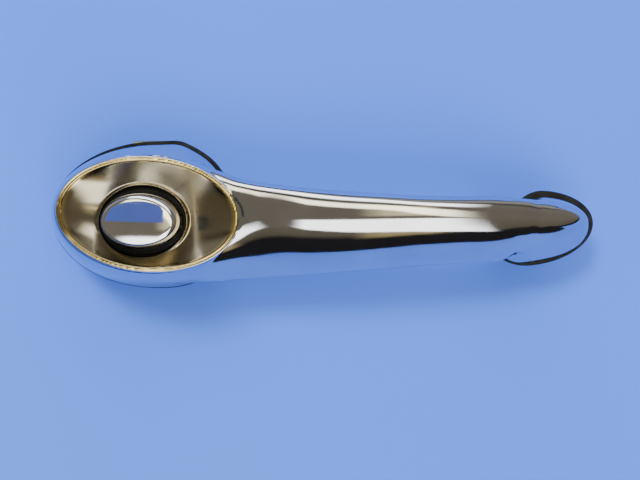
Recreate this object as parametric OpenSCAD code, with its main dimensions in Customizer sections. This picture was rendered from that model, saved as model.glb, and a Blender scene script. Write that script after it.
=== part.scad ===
// Outside car door handle of the pull type: one zinc casting with a dished oval head, a
// sprung oval push button, a tapering grip and a tip foot, on two rubber pads.
//
// Frame: the origin is on the push button's axis in the plane of the door skin. +Z points
// away from the door, +X runs from the head to the tip and +Y points to the finger side.

/* [Head] */
// Height of the dish rim above the door skin
rim_z = 27; // [25:0.5:29]
// Half length of the dish rim
rim_a = 34.1; // [33:0.1:35]
// Half width of the dish rim
rim_b = 21.4; // [20.8:0.1:21.8]
// Height of the dish floor above the door skin
floor_z = 17.5; // [16.5:0.5:18.5]
// Half width of the head where it meets its pad
base_b = 28.6; // [28:0.1:29.5]
// Thickness of the rubber pads
pad_t = 1.8; // [1.5:0.1:2.5]

/* [Grip] */
// Height of the grip's crest above the door skin
crest_z = 34; // [33:0.5:35]
// Thickness of the grip at its crest
grip_t = 10; // [9:0.5:11]

/* [Button] */
// Half length of the button
button_a = 14.8; // [14.6:0.1:15]
// Half width of the button
button_b = 10.3; // [10.1:0.1:10.5]
// Height of the button's lip above the door skin
button_z = 28.5; // [28:0.5:30]
// Travel of the button
travel = 6; // [5:0.5:6]
// Radius of the steel stem
stem_r = 3; // [2.8:0.1:3.1]

/* [Mounting] */
// Radius of the tapped hole for the tip's attaching screw
tapped_r = 2.6; // [2.5:0.1:2.8]
// Depth of the tapped hole
tapped_l = 12; // [10:1:12]
// Radius of the head studs
stud_r = 3; // [2.8:0.1:3.1]
// Room behind the pads for the door skin
skin_gap = 2.4; // [2.2:0.1:3]

/* [Hidden] */

// Places in the door plane
rim_c = [3, 2.4];
rim_tilt = -4;
base_c = [2.6, 2.5];
base_left = 42;
base_right = 29;
foot_c = [150, -3];
foot_left = 18;
foot_right = 24.4;
foot_b = 13.8;
foot_skew = 0.075;
tip_screw = [152, -2];
dowel_c = [141, -5];
studs = [[-25, 2.5], [18.5, 1]];
posts = [[0, -15.5], [0, 15.5]];

// Button well
well_a = 16.9;
well_b = 14;
well_z = 21;
cap_z = 20;
pocket_z = 13.5;

face_c = [-1, -1.1];

// Retainer, spring and stem
plate_z = 4;
plate_t = 2;
flange_t = 1.5;
bush_r = 5.5;
running = 0.05;
spring_low = plate_z + plate_t + flange_t;
seat_t = 0.8;
wire_r = 0.45;
coil_r = 5.4;
bush_end = 0.5;
stem_end = -travel - 1;
bolt_r = 2;
fine = 64;

// ---------- curves ----------

// Value at x of a smooth curve through points [x, value]
function knot(t, x, i = 0) = i >= len(t) - 2 || x < t[i + 1].x ? i : knot(t, x, i + 1);
function slope(t, i) =
    let (a = max(i - 1, 0), b = min(i + 1, len(t) - 1))
    (t[b].y - t[a].y) / (t[b].x - t[a].x);
function smooth(t, x) =
    let (i = knot(t, x), h = t[i + 1].x - t[i].x, u = (x - t[i].x) / h, v = 1 - u)
    (1 + 2 * u) * v * v * t[i].y + u * v * v * h * slope(t, i)
    + u * u * (3 - 2 * u) * t[i + 1].y - u * u * v * h * slope(t, i + 1);

function turned(p, a) = [p.x * cos(a) - p.y * sin(a), p.x * sin(a) + p.y * cos(a)];
function mix(p, q, s) = p * (1 - s) + q * s;
function power(v, e) = sign(v) * pow(abs(v), e);
function at_z(p, z) = [p.x, p.y, z];
function backwards(l) = [for (i = [len(l) - 1 : -1 : 0]) l[i]];

// Point at angle f of an oval with its own half length on each side; e squares its right side
function oval(f, c, left, right, b, tilt = 0, e = 1) =
    let (k = cos(f) > 0 ? e : 1)
    c + turned([(cos(f) > 0 ? right : left) * power(cos(f), k), b * power(sin(f), k)], tilt);
function rim_point(f, grow = 0) =
    oval(f, rim_c, rim_a + grow, rim_a + grow, rim_b + grow, rim_tilt);
function base_point(f, grow = 0) =
    oval(f, base_c, base_left + grow, base_right + grow, base_b + grow, 0, 0.87);
function foot_point(f, grow = 0) =
    let (p = oval(f, foot_c, foot_left + grow, foot_right + grow, foot_b + grow))
    p + [0, foot_skew * (p.x - foot_c.x)];
function well_point(f, grow = 0) = oval(f, [0, 0], well_a + grow, well_a + grow, well_b + grow);

// Closed solid through rings with the same number of points
module loft(rings) {
    n = len(rings[0]);
    m = len(rings);
    polyhedron(
        points = [for (r = rings) each r],
        faces = [
            [for (i = [0 : n - 1]) i],
            [for (i = [n - 1 : -1 : 0]) (m - 1) * n + i],
            for (j = [0 : m - 2]) for (i = [0 : n - 1]) let (k = (i + 1) % n)
                each [[j * n + i, (j + 1) * n + i, (j + 1) * n + k],
                      [j * n + i, (j + 1) * n + k, j * n + k]]
        ],
        convexity = 8);
}

module washer(outer, inner, t) difference() {
    cylinder(h = t, r = outer, $fn = fine);
    translate([0, 0, -1]) cylinder(h = t + 2, r = inner, $fn = fine);
}

module oval_rod(a, b, h) scale([1, b / a, 1]) cylinder(h = h, r = a, $fn = 96);

// ---------- casting ----------

sides = 64;
function head_ring(z, s, grow = 0) =
    [for (i = [0 : sides - 1]) let (f = i * 360 / sides)
        at_z(mix(base_point(f, grow), rim_point(f, grow), s), z)];
function flank(q) = 0.6 * q + 0.4 * (1 - sqrt(1 - q * q));

// Head block: its flanks turn in towards the rim
module head_block() {
    h = rim_z - pad_t;
    loft([for (q = [0, 0.25, 0.5, 0.72, 0.88, 0.96, 1]) head_ring(pad_t + h * q, flank(q))]);
}

// Grip: a section across X, whose edges, crest and depth change smoothly along it
north = [[4, 22.4], [12, 22.6], [18, 22], [28.5, 19], [37, 15.9], [48, 13.9], [60, 12.4],
    [75, 11], [90, 10.1], [105, 9.3], [120, 9], [134, 8.4], [149, 6.6], [158, 5], [164, 3]];
south = [[4, -21.5], [14, -23.2], [26, -23.3], [40, -22], [59, -20.8], [75, -19.7],
    [90, -18.6], [105, -17.4], [120, -16.3], [135, -14.8], [150, -12.4], [164, -7]];
ridge = [[4, 1.8], [40, 2.2], [60, 2.5], [100, 2.7], [136, 2.2], [150, 1.6], [164, 0.5]];
rise = [[4, rim_z - 0.4], [30, rim_z - 0.2], [44, rim_z + 2.2], [62, crest_z - 1.4],
    [84, crest_z], [106, crest_z - 1], [130, crest_z - 5.6], [148, crest_z - 11.2],
    [158, crest_z - 15], [164, crest_z - 18.2]];
north_drop = [[4, 4.5], [60, 6], [120, 5.5], [150, 4.5], [164, 3.5]];
south_drop = [[4, 16], [40, 17.8], [60, 20], [84, 21.5], [106, 20.8], [130, 16.8],
    [150, 12], [164, 7]];
depth = [[4, grip_t], [60, grip_t], [120, grip_t - 0.6], [164, grip_t - 3]];

function section(x) =
    let (
        yn = smooth(north, x), ys = smooth(south, x), yc = smooth(ridge, x),
        zc = smooth(rise, x), dn = smooth(north_drop, x), ds = smooth(south_drop, x),
        t = smooth(depth, x), lip = t * 0.28
    )
    concat(
        [for (f = [90 : -15 : 0]) [x, yc + (yn - yc) * cos(f), zc - dn + dn * sin(f)]],
        [for (f = [-22.5 : -22.5 : -67.5])
            [x, yc + (yn - yc) * cos(f), zc - dn + (t - dn) * sin(f)]],
        [for (f = [90 : 15 : 165])
            [x, yc + (yc - ys - 2 * lip) * cos(f), zc - ds + (ds - t) * sin(f)]],
        [for (f = [0 : -30 : -180]) [x, ys + lip + lip * cos(f), zc - ds + lip * sin(f)]],
        [for (f = [169 : -11 : 103])
            [x, yc + (yc - ys) * cos(f), zc - ds + ds * power(sin(f), 1.43)]]
    );

// The last section is drawn in so that the grip ends inside the foot
function drawn_in(l, x, c, k) = [for (p = l) [x, mix(c.x, p.y, k), mix(c.y, p.z, k)]];
module grip() {
    loft(concat(
        [for (x = [4, 12, 20, 28, 34, 40, 46, 52, 60, 68, 76, 86, 96, 106, 116, 126, 134, 142,
            149, 154]) backwards(section(x))],
        [backwards(drawn_in(section(158), 159.3, [0.2, 12], 0.35))]));
}

// Foot: flares from the grip's nose down to its pad
function nose(f) = oval(f, [147, -0.8], 13, 19.6, 6.6, 6);
function crown(p) = at_z(p, smooth(rise, min(p.x, 163)) - 0.6 - 0.06 * pow(p.y - 0.8, 2));
module foot() {
    loft(concat(
        [for (q = [0, 0.25, 0.5, 0.72, 0.88, 1])
            [for (i = [0 : 47]) let (f = i * 7.5)
                at_z(mix(foot_point(f), nose(f), 0.7 * q + 0.3 * (1 - sqrt(1 - q * q))),
                    pad_t + (15.5 - pad_t) * q)]],
        [for (k = [0.14, 0.4, 0.75])
            [for (i = [0 : 47]) crown(mix(nose(i * 7.5), [149, 0.4], k))]]));
}

// Dish: rises from the button's boss to the rim
function bowl(z, s) = [for (i = [0 : sides - 1]) let (f = i * 360 / sides)
    at_z(mix(rim_point(f, -1.7), well_point(f, 1.2), s), z)];
module dish_cut() {
    loft(concat(
        [for (s = [1, 0.8, 0.58, 0.38, 0.22, 0.1, 0.03])
            bowl(floor_z + (rim_z - 0.4 - floor_z) * pow(1 - s, 2.4), s)],
        [bowl(rim_z + 0.1, -0.03), bowl(rim_z + 12, -0.2)]));
}

function oval_ring(z, grow) =
    [for (i = [0 : sides - 1]) at_z(well_point(i * 360 / sides, grow), z)];
module boss() {
    loft([oval_ring(floor_z - 2, 2.6), oval_ring(floor_z + 0.6, 1.4),
        oval_ring(well_z - 0.7, 0.5), oval_ring(well_z, 0)]);
}

// Hollow behind the dish, with bosses for the studs and posts for the retainer
module pocket() difference() {
    loft([head_ring(-1, 0, -5), head_ring(pad_t + 4, 0.1, -5), head_ring(pocket_z, 0.3, -5.5)]);
    for (p = studs) translate([p.x, p.y, -2]) cylinder(h = 20, r = 6, $fn = fine);
    for (p = posts) translate([p.x, p.y, plate_z + plate_t]) cylinder(h = 20, r = 4, $fn = fine);
}

module handle_body() color("silver") difference() {
    union() {
        difference() {
            union() {
                head_block();
                grip();
                foot();
            }
            dish_cut();
            pocket();
        }
        boss();
    }
    translate([0, 0, 10]) oval_rod(button_a + 0.5, button_b + 0.5, 20);
    translate([0, 0, well_z - 3]) oval_rod(well_a - 0.5, well_b - 0.5, 20);
    for (p = studs) translate([p.x, p.y, 0]) cylinder(h = 12, r = stud_r, $fn = fine);
    for (p = posts) translate([p.x, p.y, 0]) cylinder(h = 12, r = 1.5, $fn = fine);
    translate([tip_screw.x, tip_screw.y, 0]) cylinder(h = pad_t + tapped_l, r = tapped_r, $fn = fine);
    translate([dowel_c.x, dowel_c.y, 0]) cylinder(h = 8, r = 2, $fn = fine);
}

// ---------- button ----------

// Cap: straight oval skirt, round shoulder, slightly crowned face set towards the left
function cap_ring(z, a, b, c) = [for (i = [0 : 47]) at_z(oval(i * 7.5, c, a, a, b), z)];
module push_button() color("gainsboro") difference() {
    loft([
        cap_ring(cap_z, button_a, button_b, [0, 0]),
        cap_ring(button_z - 2.6, button_a, button_b, [0, 0]),
        for (f = [15 : 15 : 75]) let (k = 1 - cos(f))
            cap_ring(button_z - 2.6 + 3.6 * sin(f), button_a - 3.3 * k, button_b - 3 * k, face_c * k),
        cap_ring(button_z + 1.1, 11.6, 7.4, face_c),
        cap_ring(button_z + 1.6, 7, 4.4, face_c),
        cap_ring(button_z + 1.8, 2.4, 1.5, face_c)
    ]);
    translate([0, 0, cap_z - 1]) cylinder(h = 6, r = stem_r, $fn = fine);
    translate([0, -20, cap_z + 2.5]) rotate([-90, 0, 0]) cylinder(h = 40, r = 0.8, $fn = 32);
}

module button_seal() color("black") difference() {
    translate([0, 0, well_z - 3]) oval_rod(well_a - 0.5, well_b - 0.5, 2.4);
    translate([0, 0, well_z - 4]) oval_rod(button_a + 0.35, button_b + 0.35, 6);
}

// Stem: tapped at its lower end, grooved for the clip
module button_stem() color("silver") difference() {
    translate([0, 0, stem_end]) cylinder(h = cap_z + 5 - stem_end, r = stem_r, $fn = fine);
    translate([0, 0, -1.8]) washer(6, 2.3, 1);
    translate([0, 0, stem_end - 1]) cylinder(h = 5.4, r = bolt_r, $fn = fine);
    translate([0, -20, cap_z + 2.5]) rotate([-90, 0, 0]) cylinder(h = 40, r = 0.8, $fn = 32);
}

module stem_pin() color("dimgray") translate([0, -9, cap_z + 2.5]) rotate([-90, 0, 0])
    cylinder(h = 18, r = 0.8, $fn = 32);

module spring_seat() color("silver") translate([0, 0, cap_z - seat_t])
    washer(7, stem_r, seat_t);

// Spring: five turns, closed down at both ends
low = spring_low + wire_r + 0.05;
high = cap_z - seat_t - wire_r - 0.05;
turns = 5;
steps = 100;
end_turn = 0.18;
end_lift = 2.1 * wire_r;
function lift(u) =
    u < end_turn ? u / end_turn * end_lift :
    u > 1 - end_turn ? high - low - (1 - u) / end_turn * end_lift :
    end_lift + (u - end_turn) / (1 - 2 * end_turn) * (high - low - 2 * end_lift);
module return_spring() color("gray") {
    loft([for (i = [0 : steps]) let (u = i / steps, f = u * 360 * turns)
        [for (k = [0 : 7]) let (c = coil_r + wire_r * cos(k * 45))
            [c * cos(f), -c * sin(f), low + lift(u) + wire_r * sin(k * 45)]]]);
}

module guide_bush() color("goldenrod") difference() {
    union() {
        translate([0, 0, bush_end])
            cylinder(h = plate_z + plate_t - bush_end, r = bush_r, $fn = fine);
        translate([0, 0, plate_z + plate_t]) cylinder(h = flange_t, r = 7.5, $fn = fine);
    }
    translate([0, 0, -1]) cylinder(h = 12, r = stem_r + running, $fn = fine);
}

module retainer_plate() color("silver") translate([0, 0, plate_z]) difference() {
    union() {
        cylinder(h = plate_t, r = 10.5, $fn = fine);
        for (p = posts) translate([p.x, p.y, 0]) cylinder(h = plate_t, r = 4.5, $fn = fine);
        translate([-4.5, posts[0].y, 0]) cube([9, 31, plate_t]);
    }
    translate([0, 0, -1]) cylinder(h = 4, r = bush_r, $fn = fine);
    for (p = posts) translate([p.x, p.y, -1]) cylinder(h = 4, r = 1.7, $fn = fine);
}

// Slotted round-head screws
module retainer_screws() color("silver") for (p = posts) translate([p.x, p.y, 0]) difference() {
    union() {
        translate([0, 0, plate_z - 0.6]) cylinder(h = 7.8, r = 1.5, $fn = 48);
        translate([0, 0, plate_z - 2.4]) cylinder(h = 1.8, r = 2.9, $fn = 48);
    }
    translate([-4, -0.4, plate_z - 2.9]) cube([8, 0.8, 1.4]);
}

module split_washer(outer, inner, t) difference() {
    washer(outer, inner, t);
    translate([0, -0.5, -1]) cube([outer + 1, 1, t + 2]);
}

module retainer_washers() color("gray") for (p = posts)
    translate([p.x, p.y, plate_z - 0.6]) split_washer(2.7, 1.5, 0.6);

module stop_washer() color("silver") translate([0, 0, bush_end - 1.3]) washer(6, stem_r, 1);

// Open clip in the stem's groove
module stem_clip() color("dimgray") translate([0, 0, -1.7]) difference() {
    cylinder(h = 0.8, r = 5.4, $fn = fine);
    translate([0, 0, -1]) cylinder(h = 3, r = 2.3, $fn = fine);
    translate([-1.8, -7, -1]) cube([3.6, 7, 3]);
    for (s = [-1, 1]) translate([s * 3.9, 0.6, -1]) cylinder(h = 3, r = 1.1, $fn = 32);
}

module hexagon(flats, h) cylinder(h = h, r = flats / sqrt(3), $fn = 6);

module contact_bolt() color("silver") {
    translate([0, 0, stem_end - 5]) cylinder(h = 9.2, r = bolt_r, $fn = fine);
    translate([0, 0, stem_end - 7]) hexagon(7, 2.4);
}

module contact_locknut() color("goldenrod") translate([0, 0, stem_end - 2.6]) difference() {
    hexagon(8, 2.6);
    translate([0, 0, -1]) cylinder(h = 6, r = bolt_r, $fn = fine);
}

module contact_tip() color("ivory") translate([0, 0, stem_end - 7]) rotate([180, 0, 0])
    rotate_extrude($fn = fine)
        polygon([[0, 0], [3.4, 0], [3.4, 0.6], [2.9, 1.4], [1.7, 1.9], [0, 2.1]]);

// ---------- pads and fixings ----------

module pad(outline, window) linear_extrude(pad_t) difference() {
    polygon(outline);
    polygon(window);
}

module head_pad() color("black")
    pad([for (i = [0 : 95]) base_point(i * 3.75, 0.9)], [for (i = [0 : 95]) base_point(i * 3.75, -7)]);

module tip_pad() color("black") difference() {
    linear_extrude(pad_t) polygon([for (i = [0 : 71]) foot_point(i * 5, 1.1)]);
    translate([tip_screw.x, tip_screw.y, -1]) cylinder(h = 5, r = 3.3, $fn = fine);
    translate([dowel_c.x, dowel_c.y, -1]) cylinder(h = 5, r = 2.4, $fn = fine);
}

// Studs: a plain pilot end below the thread
module head_studs() color("silver") for (p = studs) translate([p.x, p.y, -18.6]) {
    cylinder(h = 0.8, r1 = stud_r - 0.9, r2 = stud_r - 0.3, $fn = fine);
    translate([0, 0, 0.8]) cylinder(h = 6, r = stud_r - 0.3, $fn = fine);
    translate([0, 0, 6.8]) cylinder(h = 23.3, r = stud_r, $fn = fine);
}

// Bracket behind the skin, with an ear whose end is turned back
module clamp_bracket() color("darkkhaki") {
    translate([0, 0, -skin_gap - 1.6]) linear_extrude(1.6) difference() {
        union() {
            translate([-3, 2]) scale([1, 0.52]) circle(r = 33, $fn = 96);
            translate([-8, 0]) square([18.6, 33]);
        }
        circle(r = 9, $fn = fine);
        for (p = studs) translate(p) circle(r = stud_r + 0.3, $fn = fine);
    }
    translate([-8, 31.4, -skin_gap - 9]) cube([18.6, 1.6, 8]);
}

module bracket_washers() color("silver") for (p = studs)
    translate([p.x, p.y, -skin_gap - 2.8]) washer(6.4, stud_r + 0.2, 1.2);

module lock_washers() color("gray") for (p = studs)
    translate([p.x, p.y, -skin_gap - 4.3]) split_washer(5, stud_r + 0.1, 1.5);

module stud_nuts() color("silver") for (p = studs)
    translate([p.x, p.y, -skin_gap - 9.3]) difference() {
        hexagon(10, 5);
        translate([0, 0, -1]) cylinder(h = 7, r = stud_r, $fn = fine);
    }

module tip_dowel() color("silver") translate([dowel_c.x, dowel_c.y, -4.5]) {
    cylinder(h = 0.6, r1 = 1.3, r2 = 1.7, $fn = 48);
    translate([0, 0, 0.6]) cylinder(h = 3.9, r = 1.7, $fn = 48);
    translate([0, 0, 4.5]) cylinder(h = 7.8, r = 2, $fn = 48);
}

handle_body();
push_button();
button_seal();
button_stem();
stem_pin();
spring_seat();
return_spring();
guide_bush();
retainer_plate();
retainer_screws();
retainer_washers();
stop_washer();
stem_clip();
contact_bolt();
contact_locknut();
contact_tip();
head_pad();
tip_pad();
head_studs();
clamp_bracket();
bracket_washers();
lock_washers();
stud_nuts();
tip_dowel();
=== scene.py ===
"""Looks of a chromed outside door handle with an oval push button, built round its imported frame."""

import bpy
import math
import numpy as np
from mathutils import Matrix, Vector


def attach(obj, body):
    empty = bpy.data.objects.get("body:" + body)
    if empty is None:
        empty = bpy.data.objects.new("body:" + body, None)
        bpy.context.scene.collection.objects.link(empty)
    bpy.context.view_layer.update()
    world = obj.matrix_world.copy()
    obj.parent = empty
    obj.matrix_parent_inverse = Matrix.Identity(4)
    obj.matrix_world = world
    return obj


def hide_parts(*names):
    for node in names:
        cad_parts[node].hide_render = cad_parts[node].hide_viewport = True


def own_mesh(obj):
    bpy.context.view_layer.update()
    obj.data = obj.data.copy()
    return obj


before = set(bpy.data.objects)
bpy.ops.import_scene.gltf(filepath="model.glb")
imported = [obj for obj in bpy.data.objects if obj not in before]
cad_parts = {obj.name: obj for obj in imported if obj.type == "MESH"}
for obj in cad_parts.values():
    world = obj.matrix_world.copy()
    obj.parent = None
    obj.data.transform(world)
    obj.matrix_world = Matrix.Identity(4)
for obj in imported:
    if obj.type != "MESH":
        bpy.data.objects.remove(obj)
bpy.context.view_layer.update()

MM = 0.001

# ---------------------------------------------------------------- sizes, in millimetres
PAD_T = 1.8
RIM_Z = 27.0
RIM_C = (3.0, 2.4)
RIM_A, RIM_B = 34.1, 21.4
RIM_TILT = math.radians(-4)
LIP_R = 0.42
FLOOR_Z = 17.5
WELL_A, WELL_B, WELL_Z = 16.9, 14.0, 21.0
CAP_A, CAP_B, CAP_Z = 14.8, 10.3, 20.0
LIP_Z = 28.5
POCKET_Z = 13.5
HEAD_C = (3.0, 2.5)
FOOT_C = (151.0, 0.6)
STUDS = ((-25.0, 2.5), (18.5, 1.0))
POSTS = ((0.0, -15.5), (0.0, 15.5))
TIP_SCREW = (152.0, -2.0)
DOWEL = (141.0, -5.0)
GRIP_START, GRIP_END = 4, 152
HEAD_WALL = 5.2
BOSS_R = 6.0
POST_R, POST_LOW = 4.0, 6.0
TIP_HOLE_R, TIP_HOLE_TOP = 2.6, 13.8
NOSE_C = (147, 1.1)
NOSE_LENGTH, NOSE_HEEL = 23, 15
COIL_R, COIL_WIRE_R, COILS = 5.4, 0.45, 5
COIL_LOW, COIL_HIGH = 8.0, CAP_Z - 1.3
CLOSED_TURN = 0.945
COARSE = 1.0

# Edges, crest and depths of the grip at stations along it
NORTH = ((4, 22.4), (12, 22.6), (18, 22), (28.5, 19), (37, 15.9), (48, 13.9), (60, 12.4),
         (75, 11), (90, 10.1), (105, 9.3), (120, 9.2), (134, 9.2), (149, 7.8), (158, 6))
SOUTH = ((4, -21.5), (14, -23.2), (26, -23.3), (40, -22), (59, -20.8), (75, -19.7),
         (90, -18.6), (105, -17.4), (120, -16.4), (135, -15.5), (150, -14), (160, -12))
RIDGE = ((4, 1.8), (40, 2.2), (60, 2.5), (100, 2.7), (136, 2.2), (150, 1.6), (170, 1.6))
RISE = ((4, 26.9), (30, 27.0), (44, 29.2), (62, 32.6), (84, 34), (106, 33), (130, 28.4),
        (148, 22.8), (158, 19), (164, 15.8), (170, 11.5))
NORTH_DROP = ((4, 4.5), (60, 6), (120, 5.5), (150, 4.5))
SOUTH_DROP = ((4, 16), (40, 17.8), (60, 20), (84, 21.5), (106, 20.8), (130, 16.8), (150, 12))
DEPTH = ((4, 10), (60, 10), (120, 9.4), (150, 8))
# How square the grip's section is on each side; it is flush with the rim where it starts
NORTH_SQUARE = ((4, 8), (28, 6), (37, 4.2), (48, 3), (64, 2.3), (100, 2.7), (160, 2.7))
SOUTH_SQUARE = ((4, 7), (20, 6), (28, 4), (36, 2.7), (44, 2.05), (60, 2), (160, 2))
SOUTH_BEND = ((4, 0.95), (44, 0.95), (78, 1.4), (108, 1.35), (120, 1.25), (131, 1.15),
              (138, 1.02), (146, 0.76), (160, 0.7))


# ---------------------------------------------------------------- curves
def smooth(stations, x):
    """Values at x of a smooth curve through the stations, with the same slopes as the part's."""
    p = np.array(stations, float)
    x = np.clip(x, p[0, 0], p[-1, 0])
    n = len(p)
    lo = np.maximum(np.arange(n) - 1, 0)
    hi = np.minimum(np.arange(n) + 1, n - 1)
    m = (p[hi, 1] - p[lo, 1]) / (p[hi, 0] - p[lo, 0])
    i = np.clip(np.searchsorted(p[:, 0], x, side="right") - 1, 0, n - 2)
    h = p[i + 1, 0] - p[i, 0]
    u = (x - p[i, 0]) / h
    v = 1 - u
    return ((1 + 2 * u) * v * v * p[i, 1] + u * v * v * h * m[i]
            + u * u * (3 - 2 * u) * p[i + 1, 1] - u * u * v * h * m[i + 1])


def melt(a, b, k):
    """Union of two distances with a fillet of size k."""
    h = np.clip(0.5 + 0.5 * (b - a) / k, 0, 1)
    return b * (1 - h) + a * h - k * h * (1 - h)


def carve(a, b, k):
    """What is in both a and b, with a rounded edge of size k."""
    return -melt(-a, -b, k)


def polar(points, centre):
    """Radius round centre as a function of angle, for a closed outline of points."""
    d = points - np.array(centre)
    ang = np.arctan2(d[:, 1], d[:, 0])
    r = np.hypot(d[:, 0], d[:, 1])
    order = np.argsort(ang)
    ang, r = ang[order], r[order]
    ang = np.concatenate([ang - 2 * math.pi, ang, ang + 2 * math.pi])
    r = np.concatenate([r, r, r])
    return lambda f: np.interp(f, ang, r)


def signed_power(v, e):
    return np.sign(v) * np.abs(v) ** e


TURN = np.linspace(0, 2 * math.pi, 2880, endpoint=False)


def head_outline(grow=0.0):
    c, s = np.cos(TURN), np.sin(TURN)
    e = np.where(c > 0, np.where(s > 0, 0.87, 0.82), 1.0)
    x = 2.6 + np.where(c > 0, 29 + grow, 42 + grow) * signed_power(c, e)
    y = 2.5 + (28.6 + grow) * signed_power(s, e)
    y = y + np.where(s > 0, 0.8 * np.exp(-((x - 11.5) / 5) ** 2), 0)
    return np.stack([x, y], 1)


def rim_outline(grow=0.0):
    x, y = (RIM_A + grow) * np.cos(TURN), (RIM_B + grow) * np.sin(TURN)
    c, s = math.cos(RIM_TILT), math.sin(RIM_TILT)
    return np.stack([RIM_C[0] + x * c - y * s, RIM_C[1] + x * s + y * c], 1)


def foot_outline(grow=0.0):
    c, s = np.cos(TURN), np.sin(TURN)
    x = 150 + np.where(c > 0, 24.4 + grow, 15.5 + grow) * c
    y = -3 + (13.8 + grow) * s + 0.075 * (x - 150)
    y = y - np.minimum(0.035 * np.clip(156 - x, 0, 30) ** 2, 5) * np.clip(2.5 * s, 0, 1)
    return np.stack([x, y], 1)


def nose_outline():
    c, s = np.cos(TURN), np.sin(TURN)
    x = np.where(c > 0, NOSE_LENGTH * (0.72 * c * c + 0.28 * c), NOSE_HEEL * c)
    y = np.where(s > 0, 6.9, 6.6) * np.where(c > 0, s, signed_power(s, 0.5) * (1 - 0.35 * c))
    return np.stack([NOSE_C[0] + x, NOSE_C[1] + y], 1)


HEAD_R = polar(head_outline(), HEAD_C)
RIM_R = polar(rim_outline(), HEAD_C)
FOOT_R = polar(foot_outline(), FOOT_C)
NOSE_R = polar(nose_outline(), FOOT_C)


def ellipse_gap(x, y, a, b):
    """Distance outside the ellipse with half lengths a and b round the origin, to first order."""
    e = np.sqrt((x / a) ** 2 + (y / b) ** 2) + 1e-9
    g = np.sqrt((x / a ** 2) ** 2 + (y / b ** 2) ** 2) / e + 1e-9
    return (e - 1) / g


# ---------------------------------------------------------------- casting
def flank(q):
    """How far the head has drawn in at a share q of its height."""
    return 0.6 * q + 0.4 * (1 - np.sqrt(np.maximum(1 - q * q, 0)))


def head_side(x, y, z):
    """Distance outside the head's flank, which leans in from the pad up to the rim."""
    f = np.arctan2(y - HEAD_C[1], x - HEAD_C[0])
    r = np.hypot(x - HEAD_C[0], y - HEAD_C[1])
    q = np.clip((z - PAD_T) / (RIM_Z - PAD_T), 0, 1)
    base = HEAD_R(f)
    return r - base - (RIM_R(f) - base) * flank(q)


def grip_gap(x, y, z):
    """Distance outside the grip: rounded finger side, long outer flank with a rolled lip."""
    yn, ys, yc = smooth(NORTH, x), smooth(SOUTH, x), smooth(RIDGE, x)
    zc, dn, ds = smooth(RISE, x), smooth(NORTH_DROP, x), smooth(SOUTH_DROP, x)
    t = smooth(DEPTH, x)
    lip = 0.28 * t
    # finger side: an upper quarter that is squarer near the head, and a lower quarter ellipse
    a = yn - yc
    n = smooth(NORTH_SQUARE, x)
    u, v = np.clip((y - yc) / a, 0, 3), np.maximum(z - (zc - dn), 0) / dn
    slope = np.sqrt((n * u ** (n - 1) / a) ** 2 + (2 * v / dn) ** 2) + 1e-6
    upper = (u ** n + v ** 2 - 1) / slope
    lower = ellipse_gap(y - yc, z - (zc - dn), a, t - dn)
    north = np.where(z > zc - dn, upper, lower)
    # outer side: a long flank, a hollow behind it and a round lip
    a = yc - ys
    n, m = smooth(SOUTH_SQUARE, x), smooth(SOUTH_BEND, x)
    u = np.clip((yc - y) / a, 0, 3)
    v = np.maximum(z - (zc - ds), 0) / ds + 1e-4
    g = u ** n + v ** m
    slope = np.sqrt((n * u ** (n - 1) / a) ** 2 + (m * v ** (m - 1) / ds) ** 2) + 1e-6
    top = (g - 1) / slope
    hollow = ellipse_gap(y - yc, z - (zc - ds), a - 2 * lip, ds - t)
    hollow = hollow + 0.6 * np.clip(x - 132, 0, 16)
    south = carve(top, -hollow, 0.8)
    edge = np.hypot(y - ys - lip, z - (zc - ds)) - lip
    south = np.where(z > zc - ds, south, edge)
    return np.where(y > yc, north, south)


def foot_gap(x, y, z):
    """Distance outside the foot, which narrows from the pad up to the nose of the crown."""
    f = np.arctan2(y - FOOT_C[1], x - FOOT_C[0])
    r = np.hypot(x - FOOT_C[0], y - FOOT_C[1])
    base, nose = FOOT_R(f), NOSE_R(f)
    top = smooth(RISE, FOOT_C[0] + nose * np.cos(f)) - 0.5
    q = np.clip((z - PAD_T) / (top - PAD_T), 0, 1.02)
    side = (r - base - (nose - base) * (0.82 * q + 0.18 * q ** 3)) * 0.85
    off = y - smooth(RIDGE, x)
    crown = z - smooth(RISE, x) + 0.12 + np.where(off > 0, 0.042, 0.06) * off ** 2
    crown = crown + 0.02 * np.clip(146 - x, 0, 20) ** 1.5
    return carve(side, crown * 0.9, 2.6)


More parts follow.
